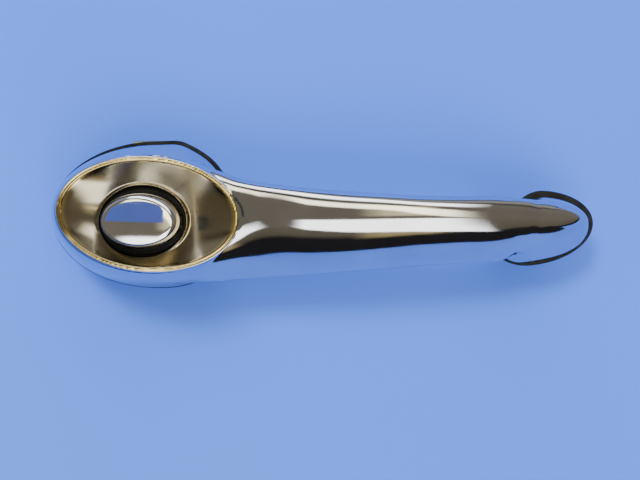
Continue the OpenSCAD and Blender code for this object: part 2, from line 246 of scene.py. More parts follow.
def casting(p):
    """Distance outside the casting at points p, to first order, in millimetres."""
    x, y, z = p[..., 0], p[..., 1], p[..., 2]
    side = head_side(x, y, z)
    head = carve(side * 0.93, z - RIM_Z, 1.0)
    # the grip sinks into the foot, from further back the lower it is
    fade = 132 + 13 * np.clip((z - 8) / 12, 0, 1)
    fade = fade + 1.5 * np.clip((y - smooth(RIDGE, x)) / 4 + 0.5, 0, 1)
    grip = grip_gap(np.clip(x, GRIP_START, 156), y, z) + 0.05 * np.clip(x - fade, 0, 24) ** 1.9
    grip = carve(grip, np.maximum(GRIP_START - x, (x - GRIP_END) * 0.8), 3.0)
    body = melt(head, grip, np.clip(3 - (z - 15) * 0.26, 0.4, 3.0))
    body = melt(body, foot_gap(x, y, z), np.clip(5 - (z - 8) * 0.33, 1.0, 5.0))
    # dished recess with a raised bead round it
    c, s = math.cos(RIM_TILT), math.sin(RIM_TILT)
    dx, dy = x - RIM_C[0], y - RIM_C[1]
    rx, ry = dx * c + dy * s, -dx * s + dy * c
    a, b = RIM_A - 1.5, RIM_B - 1.5
    e = np.sqrt((rx / a) ** 2 + (ry / b) ** 2) + 1e-9
    deep = RIM_Z - 0.3 - FLOOR_Z
    bowl = FLOOR_Z + deep * e ** 2.3
    grade = 2.3 * deep * e ** 1.3 * np.sqrt((rx / a ** 2) ** 2 + (ry / b ** 2) ** 2) / e
    body = carve(body, (z - bowl) / np.sqrt(1 + grade ** 2), 0.8)
    off = ellipse_gap(rx, ry, RIM_A - 0.75, RIM_B - 0.75)
    bead = np.minimum(np.hypot(off - 0.5, z - RIM_Z + 0.1), np.hypot(off + 0.55, z - RIM_Z + 0.1))
    body = melt(body, bead - LIP_R, 0.3)
    # raised seat of the button
    well = ellipse_gap(x, y, WELL_A, WELL_B)
    grow = 2.4 * np.clip((WELL_Z - z) / 5.5, 0, 1) ** 1.4
    seat = carve(well - grow, z - WELL_Z, 0.4)
    seat = np.maximum(seat, FLOOR_Z - 3 - z)
    body = melt(body, seat, 1.0)
    # hollow behind the dish, with stud bosses and retainer posts left standing
    hollow = carve(side + HEAD_WALL, z - POCKET_Z, 2.0)
    for sx, sy in STUDS:
        hollow = carve(hollow, BOSS_R - np.hypot(x - sx, y - sy), 1.2)
    for sx, sy in POSTS:
        post = np.maximum(np.hypot(x - sx, y - sy) - POST_R, POST_LOW - z)
        hollow = carve(hollow, -post, 0.8)
    body = carve(body, -hollow, 0.5)
    bore = np.maximum(ellipse_gap(x, y, CAP_A + 0.5, CAP_B + 0.5), 10 - z)
    seal = np.maximum(ellipse_gap(x, y, WELL_A - 0.5, WELL_B - 0.5), WELL_Z - 3 - z)
    body = carve(body, -np.minimum(bore, seal), 0.3)
    hole = np.maximum(np.hypot(x - TIP_SCREW[0], y - TIP_SCREW[1]) - TIP_HOLE_R,
                      z - TIP_HOLE_TOP)
    body = carve(body, -hole, 0.3)
    return carve(body, PAD_T - z, 0.6)


def skin(gap, axes, rounds=4):
    """Mesh of the surface where gap is 0: dual points of a grid, moved onto the surface."""
    n = [len(a) for a in axes]
    field = np.empty(n, np.float32)
    for i in range(0, n[0], 32):
        g = np.stack(np.meshgrid(axes[0][i:i + 32], axes[1], axes[2], indexing="ij"), -1)
        field[i:i + 32] = gap(g)
    inside = field < 0
    m = [k - 1 for k in n]
    total = np.zeros(m + [3], np.float32)
    count = np.zeros(m, np.float32)
    for ax in range(3):
        a = np.moveaxis(field, ax, 0)
        s = np.moveaxis(inside, ax, 0)
        cross = s[:-1] != s[1:]
        t = np.where(cross, a[:-1] / (a[:-1] - a[1:] + 1e-12), 0)
        cross = np.moveaxis(cross, 0, ax)
        t = np.moveaxis(t, 0, ax)
        others = [k for k in range(3) if k != ax]
        for p in (0, 1):
            for q in (0, 1):
                cut = [slice(None)] * 3
                cut[others[0]] = slice(p, p + m[others[0]])
                cut[others[1]] = slice(q, q + m[others[1]])
                cut = tuple(cut)
                c = cross[cut]
                count += c
                where = np.zeros(m + [3], np.float32)
                where[..., ax] = t[cut]
                where[..., others[0]] = p
                where[..., others[1]] = q
                total += where * c[..., None]
    live = count > 0
    index = np.full(m, -1, np.int64)
    index[live] = np.arange(live.sum())
    cells = np.nonzero(live)
    share = total[live] / count[live][:, None]
    points = np.stack([axes[k][cells[k]] + share[:, k] * np.diff(axes[k])[cells[k]]
                       for k in range(3)], 1)
    quads = []
    for ax in range(3):
        b, c = (ax + 1) % 3, (ax + 2) % 3
        s = np.moveaxis(inside, (ax, b, c), (0, 1, 2))
        idx = np.moveaxis(index, (ax, b, c), (0, 1, 2))
        i, j, k = np.nonzero(s[:-1, 1:-1, 1:-1] != s[1:, 1:-1, 1:-1])
        j, k = j + 1, k + 1
        quad = np.stack([idx[i, j - 1, k - 1], idx[i, j, k - 1], idx[i, j, k],
                         idx[i, j - 1, k]], 1)
        out = s[i, j, k]
        quad[~out] = quad[~out][:, ::-1]
        quads.append(quad)
    quads = np.concatenate(quads)
    step = 0.02

    def gradient(at):
        g = np.empty_like(at)
        for ax in range(3):
            d = np.zeros(3)
            d[ax] = step
            g[:, ax] = (gap(at + d) - gap(at - d)) / (2 * step)
        return g

    for _ in range(rounds):
        g = gradient(points)
        move = -gap(points)[:, None] * g / (np.sum(g * g, 1)[:, None] + 1e-6)
        length = np.linalg.norm(move, axis=1)[:, None]
        points += move * np.minimum(1, 0.3 / (length + 1e-9))
    normals = gradient(points)
    normals /= np.linalg.norm(normals, axis=1)[:, None] + 1e-9
    return points, quads, normals


def mesh_piece(name, points, faces, finish, body, nodes, normals=None, smooth_angle=None):
    """A piece from points in millimetres, riding on a body in place of CAD nodes."""
    mesh = bpy.data.meshes.new(name)
    mesh.from_pydata((np.asarray(points) * MM).tolist(), [],
                     faces.tolist() if hasattr(faces, "tolist") else faces)
    mesh.update()
    mesh.polygons.foreach_set("use_smooth", [True] * len(mesh.polygons))
    if normals is not None:
        mesh.normals_split_custom_set_from_vertices(normals.tolist())
    elif smooth_angle:
        mesh.set_sharp_from_angle(angle=math.radians(smooth_angle))
    obj = bpy.data.objects.new(name, mesh)
    bpy.context.scene.collection.objects.link(obj)
    mesh.materials.append(finish)
    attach(obj, body)
    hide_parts(*nodes)
    return obj


# ---------------------------------------------------------------- finishes
class Finish:
    """A node material for one finish: Principled shader, object coordinates, simple links."""

    def __init__(self, name, **constants):
        self.material = bpy.data.materials.new(name)
        self.material.use_nodes = True
        self.tree = self.material.node_tree
        self.shader = self.tree.nodes["Principled BSDF"]
        for key, value in constants.items():
            socket = self.shader.inputs[key.replace("_", " ")]
            socket.default_value = value
        self.place = self.tree.nodes.new("ShaderNodeTexCoord").outputs["Object"]

    def add(self, kind, **settings):
        node = self.tree.nodes.new(kind)
        for key, value in settings.items():
            setattr(node, key, value)
        return node

    def link(self, a, b):
        self.tree.links.new(a, b)

    def noise(self, scale, detail=3.0, rough=0.5, stretch=None):
        node = self.add("ShaderNodeTexNoise")
        node.inputs["Scale"].default_value = scale
        node.inputs["Detail"].default_value = detail
        node.inputs["Roughness"].default_value = rough
        source = self.place
        if stretch:
            shape = self.add("ShaderNodeMapping")
            shape.inputs["Scale"].default_value = stretch
            self.link(source, shape.inputs["Vector"])
            source = shape.outputs["Vector"]
        self.link(source, node.inputs["Vector"])
        return node.outputs["Fac"]

    def span(self, value, low, high, from_low=0.3, from_high=0.7):
        node = self.add("ShaderNodeMapRange")
        node.inputs["From Min"].default_value = from_low
        node.inputs["From Max"].default_value = from_high
        node.inputs["To Min"].default_value = low
        node.inputs["To Max"].default_value = high
        self.link(value, node.inputs["Value"])
        return node.outputs["Result"]

    def colours(self, value, *stops):
        node = self.add("ShaderNodeValToRGB")
        ramp = node.color_ramp
        while len(ramp.elements) < len(stops):
            ramp.elements.new(0.5)
        for element, (place, colour) in zip(ramp.elements, stops):
            element.position = place
            element.color = (*colour, 1)
        self.link(value, node.inputs["Fac"])
        return node.outputs["Color"]

    def relief(self, value, depth, strength=1.0, under=None):
        node = self.add("ShaderNodeBump")
        node.inputs["Distance"].default_value = depth
        node.inputs["Strength"].default_value = strength
        self.link(value, node.inputs["Height"])
        if under is not None:
            self.link(under, node.inputs["Normal"])
        return node.outputs["Normal"]

    def set(self, socket, output):
        self.link(output, self.shader.inputs[socket])


def chrome_plate(name):
    """Bright plate with a slight wave, haze and a few pits."""
    f = Finish(name, Metallic=1.0)
    haze = f.noise(220, 4, 0.6)
    f.set("Roughness", f.span(haze, 0.035, 0.09))
    ripple = f.relief(f.noise(70, 2), 0.00006, 0.5)
    pits = f.noise(2600, 2, 0.6)
    f.set("Normal", f.relief(f.span(pits, 0, 1, 0.25, 0.4), 0.000004, 0.6, ripple))
    return f


def button_chrome():
    f = chrome_plate("button_chrome")
    f.set("Base Color", f.colours(f.noise(55, 3), (0.3, (0.62, 0.63, 0.65)),
                                  (0.7, (0.72, 0.73, 0.75))))
    return f.material


def casting_chrome():
    """The casting's chrome, with a painted reflection in the dish, a warm darkening to dark tan, and
    a painted gold reflection on its lip; dull and grey behind.
    """
    f = chrome_plate("casting_chrome")
    oval = f.add("ShaderNodeMapping", vector_type="TEXTURE")
    oval.inputs["Location"].default_value = (RIM_C[0] * MM, RIM_C[1] * MM, 0)
    oval.inputs["Rotation"].default_value = (0, 0, RIM_TILT)
    oval.inputs["Scale"].default_value = (RIM_A * MM, RIM_B * MM, 1)
    f.link(f.place, oval.inputs["Vector"])
    length = f.add("ShaderNodeVectorMath", operation="LENGTH")
    f.link(oval.outputs["Vector"], length.inputs[0])
    # painted reflection and shade: the dish's colour is dimmed to dark tan and the lip's tinted gold,
    # standing in for the room's reflections in the chrome
    plate = f.colours(length.outputs["Value"], (0.90, (0.38, 0.335, 0.235)),
                      (0.955, (0.82, 0.66, 0.28)), (0.99, (0.80, 0.64, 0.28)),
                      (1.0, (0.62, 0.63, 0.65)))
    cloud = f.colours(f.noise(55, 3), (0.3, (0.88, 0.88, 0.90)), (0.7, (1.0, 1.0, 1.0)))
    chrome_with_painted_reflection = f.add("ShaderNodeMix", data_type="RGBA", blend_type="MULTIPLY")
    chrome_with_painted_reflection.inputs["Factor"].default_value = 1.0
    f.link(plate, chrome_with_painted_reflection.inputs[6])
    f.link(cloud, chrome_with_painted_reflection.inputs[7])
    facing = f.add("ShaderNodeSeparateXYZ")
    f.link(f.add("ShaderNodeNewGeometry").outputs["Normal"], facing.inputs[0])
    back = f.span(facing.outputs["Z"], 1, 0, -0.55, -0.25)
    cast = f.colours(f.noise(420, 5, 0.7), (0.3, (0.20, 0.20, 0.21)), (0.7, (0.36, 0.36, 0.37)))
    both = f.add("ShaderNodeMix", data_type="RGBA")
    f.link(back, both.inputs["Factor"])
    f.link(chrome_with_painted_reflection.outputs[2], both.inputs[6])
    f.link(cast, both.inputs[7])
    f.set("Base Color", both.outputs[2])
    dish = f.add("ShaderNodeMath", operation="ADD")
    f.link(f.span(f.noise(220, 4, 0.6), 0.035, 0.09), dish.inputs[0])
    f.link(f.span(length.outputs["Value"], 0.10, 0.0, 0.86, 0.94), dish.inputs[1])
    rough = f.add("ShaderNodeMix")
    f.link(back, rough.inputs["Factor"])
    f.link(dish.outputs[0], rough.inputs[2])
    f.link(f.span(f.noise(700, 4, 0.6), 0.34, 0.55), rough.inputs[3])
    f.set("Roughness", rough.outputs[0])
    return f.material


def pad_rubber():
    f = Finish("pad_rubber", Specular_IOR_Level=0.25)
    f.set("Base Color", f.colours(f.noise(160, 4), (0.3, (0.003, 0.003, 0.004)),
                                  (0.7, (0.012, 0.012, 0.012))))
    f.set("Roughness", f.span(f.noise(420, 3), 0.48, 0.78))
    f.set("Normal", f.relief(f.noise(2400, 3), 0.00003, 0.6))
    return f.material


def machined_steel():
    """Bright zinc-plated steel with fine turning marks."""
    f = Finish("machined_steel", Metallic=1.0)
    f.set("Base Color", f.colours(f.noise(140, 4), (0.25, (0.42, 0.43, 0.44)),
                                  (0.75, (0.60, 0.61, 0.62))))
    f.set("Roughness", f.span(f.noise(500, 3), 0.22, 0.42))
    marks = f.noise(900, 2, stretch=(0.05, 0.05, 3.0))
    f.set("Normal", f.relief(marks, 0.00001, 0.5, f.relief(f.noise(1500, 3), 0.00001, 0.4)))
    return f.material


def pressed_steel():
    """Rolled sheet steel, duller, with drawing marks along X."""
    f = Finish("pressed_steel", Metallic=1.0)
    f.set("Base Color", f.colours(f.noise(90, 5, 0.6), (0.25, (0.34, 0.34, 0.33)),
                                  (0.75, (0.52, 0.52, 0.50))))
    f.set("Roughness", f.span(f.noise(260, 4), 0.32, 0.55))
    f.set("Normal", f.relief(f.noise(800, 2, stretch=(0.08, 2.0, 1.0)), 0.000015, 0.6))
    return f.material


def oiled_spring_steel():
    """Hardened spring steel, dark under its oil."""
    f = Finish("oiled_spring_steel", Metallic=1.0)
    f.set("Base Color", f.colours(f.noise(300, 3), (0.3, (0.10, 0.10, 0.11)),
                                  (0.7, (0.20, 0.20, 0.22))))
    f.set("Roughness", f.span(f.noise(700, 3), 0.25, 0.45))
    f.set("Normal", f.relief(f.noise(1800, 2), 0.000012, 0.5))
    return f.material


def yellow_zinc():
    """Yellow passivated zinc: gold with green and rose clouds."""
    f = Finish("yellow_zinc", Metallic=1.0)
    f.set("Base Color", f.colours(f.noise(85, 4, 0.6), (0.25, (0.46, 0.34, 0.12)),
                                  (0.5, (0.58, 0.46, 0.17)), (0.62, (0.50, 0.48, 0.20)),
                                  (0.8, (0.60, 0.40, 0.22))))
    f.set("Roughness", f.span(f.noise(420, 4), 0.28, 0.48))
    f.set("Normal", f.relief(f.noise(1300, 3), 0.000015, 0.6))
    return f.material


def bush_brass():
    f = Finish("bush_brass", Metallic=1.0)
    f.set("Base Color", f.colours(f.noise(120, 4), (0.3, (0.55, 0.40, 0.17)),
                                  (0.7, (0.72, 0.55, 0.26))))
    f.set("Roughness", f.span(f.noise(380, 3), 0.20, 0.40))
    f.set("Normal", f.relief(f.noise(1000, 2, stretch=(0.05, 0.05, 3.0)), 0.00001, 0.5))
    return f.material


def natural_nylon():
    f = Finish("natural_nylon", Subsurface_Weight=0.15, Subsurface_Scale=0.001)
    f.set("Base Color", f.colours(f.noise(200, 3), (0.3, (0.70, 0.66, 0.55)),
                                  (0.7, (0.80, 0.77, 0.67))))
    f.set("Roughness", f.span(f.noise(600, 3), 0.38, 0.55))
    f.set("Normal", f.relief(f.noise(1500, 2), 0.00001, 0.4))
    return f.material


CHROME = button_chrome()
CASTING = casting_chrome()
RUBBER = pad_rubber()
PLAIN_STEEL = machined_steel()
PRESSED_STEEL = pressed_steel()
SPRING_STEEL = oiled_spring_steel()
YELLOW_ZINC = yellow_zinc()
BRASS = bush_brass()
NYLON = natural_nylon()


# ---------------------------------------------------------------- pieces
def rings_piece(rings, caps=(True, True)):
    """Points and faces through closed rings, lowest or outermost first; an end is closed to its
    middle where caps says so."""
    n = len(rings[0])
    points = [tuple(p) for ring in rings for p in ring]
    faces = []
    for j in range(len(rings) - 1):
        for i in range(n):
            k = (i + 1) % n
            faces.append((j * n + i, j * n + k, (j + 1) * n + k, (j + 1) * n + i))
    if caps[0]:
        points.append(tuple(np.mean(rings[0], 0)))
        faces += [(len(points) - 1, (i + 1) % n, i) for i in range(n)]
    if caps[1]:
        points.append(tuple(np.mean(rings[-1], 0)))
        top = (len(rings) - 1) * n
        faces += [(len(points) - 1, top + i, top + (i + 1) % n) for i in range(n)]
    return points, faces


def oval_ring(a, b, z, centre=(0.0, 0.0), n=144):
    t = np.linspace(0, 2 * math.pi, n, endpoint=False)
    return np.stack([centre[0] + a * np.cos(t), centre[1] + b * np.sin(t), np.full(n, float(z))], 1)


def handle_casting():
    def steps(*runs):
        return np.concatenate([np.arange(a, b, c * COARSE) for a, b, c in runs])
    axes = (steps((-42, 40, 0.46), (40, 132, 1.2), (132, 178, 0.72)), steps((-29, 34, 0.52)),
            steps((0.6, 16, 0.8), (16, 25.4, 0.55), (25.4, 28.2, 0.4), (28.2, 36, 0.6)))
    points, quads, normals = skin(casting, axes)
    mesh_piece("casting", points, quads, CASTING, "handle", ["handle_body"], normals)


def button_cap():
    """Oval cap: straight skirt, a thin raised edge, a wide round shoulder and a crowned face."""
    face = (-1.0, -1.1)
    rings = [oval_ring(CAP_A - 1.2, CAP_B - 1.2, CAP_Z), oval_ring(CAP_A - 0.3, CAP_B - 0.3, CAP_Z),
             oval_ring(CAP_A, CAP_B, CAP_Z + 0.3), oval_ring(CAP_A, CAP_B, LIP_Z - 2.9)]
    for f in np.linspace(8, 82, 12):
        k, s = 1 - math.cos(math.radians(f)), math.sin(math.radians(f))
        rings.append(oval_ring(CAP_A - 3.0 * k, CAP_B - 2.75 * k, LIP_Z - 2.9 + 3.8 * s,
                               (face[0] * k, face[1] * k)))
    rings.append(oval_ring(11.75, 7.5, LIP_Z + 0.98, face))
    for r in np.linspace(0.985, 0.03, 16):
        rings.append(oval_ring(11.6 * r, 7.4 * r, LIP_Z + 1.0 + 0.8 * (1 - r * r), face))
    points, faces = rings_piece(rings)
    return mesh_piece("button_cap", points, faces, CHROME, "button", ["push_button"],
                      smooth_angle=50)


def well_seal():
    """Rubber ring round the cap, rolled over at its inner lip."""
    oa, ob, ia, ib = WELL_A - 0.5, WELL_B - 0.5, CAP_A + 0.35, CAP_B + 0.35
    rings = [oval_ring(oa, ob, WELL_Z - 3), oval_ring(oa, ob, WELL_Z - 1.0),
             oval_ring(oa - 0.2, ob - 0.2, WELL_Z - 0.7)]
    for s in np.linspace(0.1, 0.9, 9):
        rings.append(oval_ring(oa + (ia - oa) * s, ob + (ib - ob) * s,
                               WELL_Z - 0.7 - 1.1 * math.sin(math.pi * s) - 0.5 * s))
    rings += [oval_ring(ia, ib, WELL_Z - 1.3), oval_ring(ia, ib, WELL_Z - 3),
              oval_ring(oa, ob, WELL_Z - 3)]
    points, faces = rings_piece(rings, (False, False))
    mesh_piece("well_seal", points, faces, RUBBER, "handle", ["button_seal"],
               smooth_angle=50)


def pad(name, node, outline, window):
    """Moulded pad: outline(grow) and window(grow) give its edges as points in plan."""
    def level(points, z):
        return np.column_stack([points[::12], np.full(len(points[::12]), z)])
    rings = [level(outline(-0.35), 0), level(outline(-0.1), 0.08), level(outline(0), 0.4),
             level(outline(0), PAD_T - 0.5), level(outline(-0.12), PAD_T - 0.12),
             level(outline(-0.45), PAD_T)]
    rings += [level(window(0.2), PAD_T), level(window(0), PAD_T - 0.2), level(window(0), 0.2),
              level(window(0.2), 0), rings[0]]
    points, faces = rings_piece(rings, (False, False))
    mesh_piece(name, points, faces, RUBBER, "handle", [node], smooth_angle=50)


def turned(profile, n=48, closed=True):
    """Points and faces of a turned piece; profile lists (radius, height), closed to itself or
    to the axis at both ends."""
    rings = [oval_ring(r, r, z, n=n) for r, z in profile]
    if closed:
        return rings_piece(rings + [rings[0]], (False, False))
    return rings_piece(rings)


def hexagon(flats, low, high, bore):
    """Hexagon nut or head with both ends chamfered, and a bore if it has one."""
    n = 96
    t = np.linspace(0, 2 * math.pi, n, endpoint=False)
    side = flats / 2 / np.cos((t + math.pi / 6) % (math.pi / 3) - math.pi / 6)
    face = flats / 2 * 0.95
    drop = (side - face) * 0.55

    def ring(r, z):
        r = np.broadcast_to(r, t.shape)
        return np.stack([r * np.cos(t), r * np.sin(t), np.broadcast_to(z, t.shape)], 1)
    rings = [ring(face, low), ring(side, low + drop), ring(side, high - drop), ring(face, high)]
    if bore:
        rings += [ring(bore + 0.35, high), ring(bore, high - 0.35), ring(bore, low + 0.35),
                  ring(bore + 0.35, low), rings[0]]
        return rings_piece(rings, (False, False))
    return rings_piece(rings)


class Workings:
    """A geometry tree with named inputs, ending in plain geometry with its finish set."""

    def __init__(self, name, **inputs):
        self.group = bpy.data.node_groups.new(name, "GeometryNodeTree")
        sockets = self.group.interface
        sockets.new_socket("Geometry", in_out="OUTPUT", socket_type="NodeSocketGeometry")
        sockets.new_socket("Geometry", in_out="INPUT", socket_type="NodeSocketGeometry")
        for label, kind in inputs.items():
            sockets.new_socket(label, in_out="INPUT", socket_type="NodeSocket" + kind)
        self.given = self.group.nodes.new("NodeGroupInput").outputs

    def add(self, kind, settings=None, **sources):
        node = self.group.nodes.new(kind)
        for key, value in (settings or {}).items():
            setattr(node, key, value)
        for key, source in sources.items():
            key = key.replace("_", " ")
            socket = node.inputs[int(key[1:]) if key[0] == "n" and key[1:].isdigit() else key]
            if isinstance(source, bpy.types.NodeSocket):
                self.group.links.new(source, socket)
            else:
                socket.default_value = source
        return node.outputs

    def math(self, operation, a, b=0.0):
        return self.add("ShaderNodeMath", {"operation": operation}, n0=a, n1=b)[0]

    def finish(self, geometry, finish):
        plain = self.add("GeometryNodeRealizeInstances", Geometry=geometry)[0]
        dressed = self.add("GeometryNodeSetMaterial", Geometry=plain, Material=finish)[0]
        end = self.group.nodes.new("NodeGroupOutput")
        self.group.links.new(dressed, end.inputs["Geometry"])


def fixing_tree():
    """Cuts a rolled thread on a turned piece and sets copies of it in a row."""
    w = Workings("fixings", Count="Int", First="Vector", Step="Vector", Pitch="Float",
                 Depth="Float", Low="Float", High="Float", Finish="Material")
    given = w.given
    x, y, z = w.add("ShaderNodeSeparateXYZ", n0=w.add("GeometryNodeInputPosition")[0])
    turn = w.math("DIVIDE", w.math("ARCTAN2", y, x), 2 * math.pi)
    phase = w.math("FRACT", w.math("SUBTRACT", w.math("DIVIDE", z, given["Pitch"]), turn))
    groove = w.math("SUBTRACT", 1.0, w.math("PINGPONG", w.math("MULTIPLY", phase, 2.0), 1.0))
    depth = w.math("MULTIPLY", groove, given["Depth"])
    threaded = w.math("MULTIPLY", w.math("GREATER_THAN", z, given["Low"]),
                      w.math("LESS_THAN", z, given["High"]))
    r = w.math("MAXIMUM", w.math("SQRT", w.math("ADD", w.math("MULTIPLY", x, x),
                                                w.math("MULTIPLY", y, y))), 1e-6)
    pull = w.math("DIVIDE", w.math("MULTIPLY", w.math("MULTIPLY", depth, threaded), -1.0), r)
    offset = w.add("ShaderNodeCombineXYZ", X=w.math("MULTIPLY", x, pull),
                   Y=w.math("MULTIPLY", y, pull))[0]
    cut = w.add("GeometryNodeSetPosition", Geometry=given["Geometry"], Offset=offset)[0]
    row = w.add("GeometryNodeMeshLine", {"mode": "OFFSET"}, Count=given["Count"],
                Start_Location=given["First"], Offset=given["Step"])[0]
    copies = w.add("GeometryNodeInstanceOnPoints", Points=row, Instance=cut)[0]
    w.finish(copies, given["Finish"])
    return w.group


def wire_tree():
    """Sweeps a round wire along a path."""
    w = Workings("wire", Wire="Float", Sides="Int", Finish="Material")
    path = w.add("GeometryNodeMeshToCurve", Mesh=w.given["Geometry"])[0]
    ring = w.add("GeometryNodeCurvePrimitiveCircle", Radius=w.given["Wire"],
                 Resolution=w.given["Sides"])[0]
    swept = w.add("GeometryNodeCurveToMesh", Curve=path, Profile_Curve=ring, Fill_Caps=True)[0]
    w.finish(swept, w.given["Finish"])
    return w.group


def built(name, points, faces, edges, group, inputs, body, nodes, angle=40):
    """Runs a tree on a mesh, keeps the result as a plain mesh and rides it on its body."""
    mesh = bpy.data.meshes.new(name)
    mesh.from_pydata((np.asarray(points) * MM).tolist(), edges, faces)
    obj = bpy.data.objects.new(name, mesh)
    bpy.context.scene.collection.objects.link(obj)
    step = obj.modifiers.new(name, "NODES")
    step.node_group = group
    for item in group.interface.items_tree:
        if item.in_out == "INPUT" and item.name in inputs:
            step[item.identifier] = inputs[item.name]
    bpy.context.view_layer.update()
    obj.update_tag()
    view = bpy.context.evaluated_depsgraph_get()
    plain = bpy.data.meshes.new_from_object(obj.evaluated_get(view), depsgraph=view)
    obj.modifiers.remove(step)
    obj.data = plain
    plain.polygons.foreach_set("use_smooth", [True] * len(plain.polygons))
    plain.set_sharp_from_angle(angle=math.radians(angle))
    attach(obj, body)
    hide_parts(*nodes)
    return obj


def fixings(name, shape, places, finish, body, node, thread=None):
    """One kind of fixing at its places; thread gives (pitch, depth, low, high)."""
    points, faces = shape
    first = np.array([*places[0], 0.0]) * MM
    step = (np.array([*places[-1], 0.0]) * MM - first) / max(1, len(places) - 1)
    pitch, depth, low, high = thread or (1.0, 0.0, 0.0, 0.0)
    built(name, points, faces, [], FIXINGS,
          {"Count": len(places), "First": first.tolist(), "Step": step.tolist(),
           "Pitch": pitch * MM, "Depth": depth * MM, "Low": low * MM, "High": high * MM,
           "Finish": finish}, body, [node])


def washer(outer, inner, low, high, edge=0.12):
    return turned([(inner + edge, low), (outer - edge, low), (outer, low + edge),
                   (outer, high - edge), (outer - edge, high), (inner + edge, high),
                   (inner, high - edge), (inner, low + edge)], 72)


def split_ring(outer, inner, low, high):
    """Spring washer: one open turn whose ends are sprung apart."""
    n, e = 60, 0.12
    profile = [(inner + e, low), (outer - e, low), (outer, low + e), (outer, high - e),
               (outer - e, high), (inner + e, high), (inner, high - e), (inner, low + e)]
    points, faces = [], []
    k = len(profile)
    for i in range(n + 1):
        u = i / n
        a = math.radians(6 + 346 * u)
        points += [(r * math.cos(a), r * math.sin(a), z + 0.16 * (u - 0.5)) for r, z in profile]
    for i in range(n):
        for j in range(k):
            m = (j + 1) % k
            faces.append((i * k + j, i * k + m, (i + 1) * k + m, (i + 1) * k + j))
    faces.append(tuple(range(k - 1, -1, -1)))
    faces.append(tuple(n * k + j for j in range(k)))
    return points, [f[::-1] for f in faces]


def spring_path():
    """Middle of the coil's wire: nearly one closed turn at each end, open turns between."""
    tall = COIL_HIGH - COIL_LOW
    points = []
    for i in range(COILS * 48 + 1):
        u = i / (COILS * 48)
        if u < 0.18:
            z = u / 0.18 * CLOSED_TURN
        elif u > 0.82:
            z = tall - (1 - u) / 0.18 * CLOSED_TURN
        else:
            z = CLOSED_TURN + (u - 0.18) / 0.64 * (tall - 2 * CLOSED_TURN)
        a = 2 * math.pi * COILS * u
        points.append((COIL_R * math.cos(a), -COIL_R * math.sin(a), COIL_LOW + z))
    return points


def return_spring():
    points = spring_path()
    obj = built("return_spring_coil", points, [], [(i, i + 1) for i in range(len(points) - 1)],
                WIRE, {"Wire": COIL_WIRE_R * MM, "Sides": 12, "Finish": SPRING_STEEL}, "handle",
                ["return_spring"], 60)
    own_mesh(obj)


def from_gap(name, gap, low, high, cell, finish, body, nodes):
    """A piece whose surface is where gap is 0, between two corners."""
    axes = [np.arange(low[k], high[k] + cell[k], cell[k] * COARSE) for k in range(3)]
    points, quads, normals = skin(gap, axes)
    return mesh_piece(name, points, quads, finish, body, nodes, normals)


def bracket_gap(p):
    """Pressed bracket: oval plate with a tongue whose end is turned back."""
    x, y, z = p[..., 0], p[..., 1], p[..., 2]
    plate = ellipse_gap(x + 3, y - 2, 33, 17.16)
    tongue = np.maximum(np.abs(x - 1.3) - 9.3, np.maximum(-y, y - 33))
    plan = melt(plate, tongue, 2.5)
    for place, r in ((STUDS[0], 3.3), (STUDS[1], 3.3), ((0, 0), 9.0)):
        plan = carve(plan, r - np.hypot(x - place[0], y - place[1]), 0.3)
    # sheet bent round a 1 mm inner radius at y 30.4
    flat = np.maximum(-4.0 - z, z + 2.4)
    turn = np.abs(np.hypot(y - 30.4, z + 5.0) - 1.8) - 0.8
    ear = np.maximum(np.abs(y - 32.2) - 0.8, -11.4 - z)
    sheet = np.where(z > -5.0, np.where(y > 30.4, turn, flat), np.where(y > 28, ear, 5.0))
    return carve(plan, sheet, 0.35)


def tip_gasket_gap(p):
    x, y, z = p[..., 0], p[..., 1], p[..., 2]
    f = np.arctan2(y - FOOT_C[1], x - FOOT_C[0])
    plan = np.hypot(x - FOOT_C[0], y - FOOT_C[1]) - PAD_R(f)
    plan = carve(plan, 3.3 - np.hypot(x - TIP_SCREW[0], y - TIP_SCREW[1]), 0.2)
    plan = carve(plan, 2.4 - np.hypot(x - DOWEL[0], y - DOWEL[1]), 0.2)
    return carve(plan, np.abs(z - PAD_T / 2) - PAD_T / 2, 0.35)


def screw_gap(p):
    """Slotted round-head screw under the retainer at the origin."""
    x, y, z = p[..., 0], p[..., 1], p[..., 2]
    r = np.hypot(x, y)
    dome = np.hypot(r, z - 4.6) - 3.4
    head = carve(carve(r - 2.9, z - 3.4, 0.2), dome, 0.5)
    head = carve(head, 1.6 - z, 0.2)
    head = carve(head, -np.maximum(np.abs(y) - 0.4, z - 2.5), 0.12)
    shank = np.maximum(r - 1.5, np.maximum(3.2 - z, z - 11))
    return melt(head, shank, 0.2)


def retainer_screws():
    axes = [np.arange(-3.4, 3.6, 0.16 * COARSE)] * 2 + [np.arange(1.2, 11.6, 0.16 * COARSE)]
    points, quads, normals = skin(screw_gap, axes)
    shape = (points, quads.tolist())
    fixings("slotted_screws", shape, POSTS, PLAIN_STEEL, "handle",
            "retainer_screws", (0.5, 0.14, 5.9, 10.8))


def rod(r, low, high, chamfer, step=0.125):
    """Round rod with chamfered ends and rings close enough to carry a thread."""
    profile = [(r - chamfer, low), (r, low + chamfer)]
    profile += [(r, z) for z in np.arange(low + chamfer + step, high - chamfer, step)]
    return turned(profile + [(r, high - chamfer), (r - chamfer, high)], 40, closed=False)


def joined(*shapes):
    points, faces = [], []
    for some, more in shapes:
        faces += [tuple(i + len(points) for i in f) for f in more]
        points += [tuple(q) for q in some]
    return points, faces


def dress(node, finish):
    """Gives a CAD node its finish and keeps its shape."""
    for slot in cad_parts[node].material_slots:
        slot.material = finish


PAD_R = polar(foot_outline(1.1) + np.array((0.1, 0.5)), FOOT_C)
FIXINGS, WIRE = fixing_tree(), wire_tree()
AXIS = ((0.0, 0.0),)

